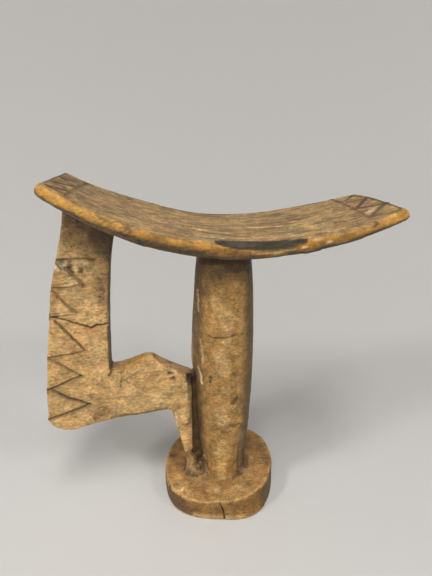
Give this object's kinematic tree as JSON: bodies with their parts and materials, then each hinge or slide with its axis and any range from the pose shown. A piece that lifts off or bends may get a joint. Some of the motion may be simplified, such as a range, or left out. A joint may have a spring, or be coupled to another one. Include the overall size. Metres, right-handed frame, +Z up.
{
  "type": "carved wooden headrest",
  "caption": "Carved wooden neck rest: a curved plate on a round column and foot, with a flat side arm, crosspiece and spike, and incised zigzags.",
  "frame": {"origin": "where the column's axis meets the underside of the foot, on the surface that the headrest stands on", "axes": "+Z up along the column, +X along the plate away from the side arm, -Y out of the carved front of the arm"},
  "size_m": [0.1909, 0.0707, 0.1973],
  "materials": {
    "wood": "hand-carved hardwood with a dull brown patina, worn pale golden edges and dark dirt in the cuts"
  },
  "bodies": {
    "root": {"headrest": "wood"}
  },
  "joints": []
}
